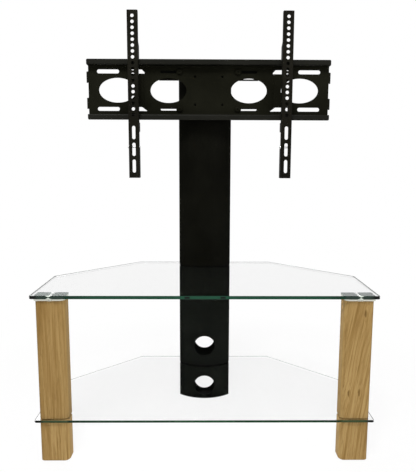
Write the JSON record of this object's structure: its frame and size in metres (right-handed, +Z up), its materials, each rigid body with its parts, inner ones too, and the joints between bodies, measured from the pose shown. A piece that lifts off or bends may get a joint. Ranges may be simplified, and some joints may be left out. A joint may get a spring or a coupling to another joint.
{
  "type": "tv stand with mount",
  "caption": "Television stand of clear glass shelves on oak legs and a hollow steel column, which carries a folded steel mount plate with sliding arms for a screen.",
  "frame": {"origin": "on the floor, in the middle of the glass shelves", "axes": "+Z up, +X to the right seen from the front, +Y from the front to the back"},
  "size_m": [0.8, 0.415, 1.1033],
  "materials": {
    "clear_glass": "clear, polished, with a green edge",
    "oak": "satin lacquered oak veneer",
    "brushed_metal": "brushed",
    "black_steel": "satin black powder coat",
    "mount_steel": "fine black powder coat",
    "zinc_steel": "zinc plated",
    "black_plastic": "matt",
    "rubber": "matt"
  },
  "bodies": {
    "stand": {"base_pad_left": "rubber", "base_pad_right": "rubber", "column_cap": "black_plastic", "column_foot_back": "black_steel", "column_foot_front": "black_steel", "column_gasket_1": "rubber", "column_gasket_2": "rubber", "column_gasket_3": "rubber", "column_gasket_4": "rubber", "column_middle_back": "black_steel", "column_middle_front": "black_steel", "column_upper_back": "black_steel", "column_upper_front": "black_steel", "foot_pad_left": "rubber", "foot_pad_right": "rubber", "glass_bush_left": "rubber", "glass_bush_right": "rubber", "head_bar_lower": "black_steel", "head_bar_upper": "black_steel", "head_bolt_lower_left": "zinc_steel", "head_bolt_lower_right": "zinc_steel", "head_bolt_upper_left": "zinc_steel", "head_bolt_upper_right": "zinc_steel", "head_spacer_lower_left": "black_steel", "head_spacer_lower_right": "black_steel", "head_spacer_upper_left": "black_steel", "head_spacer_upper_right": "black_steel", "leg_bolt_left": "zinc_steel", "leg_bolt_right": "zinc_steel", "leg_cap_left": "brushed_metal", "leg_cap_right": "brushed_metal", "leg_foot_left": "oak", "leg_foot_right": "oak", "leg_post_left": "oak", "leg_post_right": "oak", "lower_glass": "clear_glass", "mount_plate": "mount_steel", "plate_bolt_lower_left": "mount_steel", "plate_bolt_lower_right": "mount_steel", "plate_bolt_upper_left": "mount_steel", "plate_bolt_upper_right": "mount_steel", "plate_nut_lower_left": "zinc_steel", "plate_nut_lower_right": "zinc_steel", "plate_nut_upper_left": "zinc_steel", "plate_nut_upper_right": "zinc_steel", "plate_washer_lower_left": "mount_steel", "plate_washer_lower_right": "mount_steel", "plate_washer_upper_left": "mount_steel", "plate_washer_upper_right": "mount_steel", "spine_base_plate": "black_steel", "spine_tube_left": "black_steel", "spine_tube_right": "black_steel", "top_glass": "clear_glass"},
    "left_arm": {"arm_left": "mount_steel", "lock_screw_left": "zinc_steel"},
    "left_lock": {"lock_plate_left": "black_steel"},
    "right_arm": {"arm_right": "mount_steel", "lock_screw_right": "zinc_steel"},
    "right_lock": {"lock_plate_right": "black_steel"}
  },
  "joints": [
    {"name": "left_arm_slide", "type": "slide", "parent": "stand", "child": "left_arm", "axis": [1, 0, 0], "range_m": [-0.105, 0.163]},
    {"name": "right_arm_slide", "type": "slide", "parent": "stand", "child": "right_arm", "axis": [1, 0, 0], "range_m": [-0.17, 0.097]},
    {"name": "left_lock_slide", "type": "slide", "parent": "left_arm", "child": "left_lock", "axis": [0, 0, 1], "range_m": [-0.012, 0]},
    {"name": "right_lock_slide", "type": "slide", "parent": "right_arm", "child": "right_lock", "axis": [0, 0, 1], "range_m": [-0.012, 0]}
  ]
}
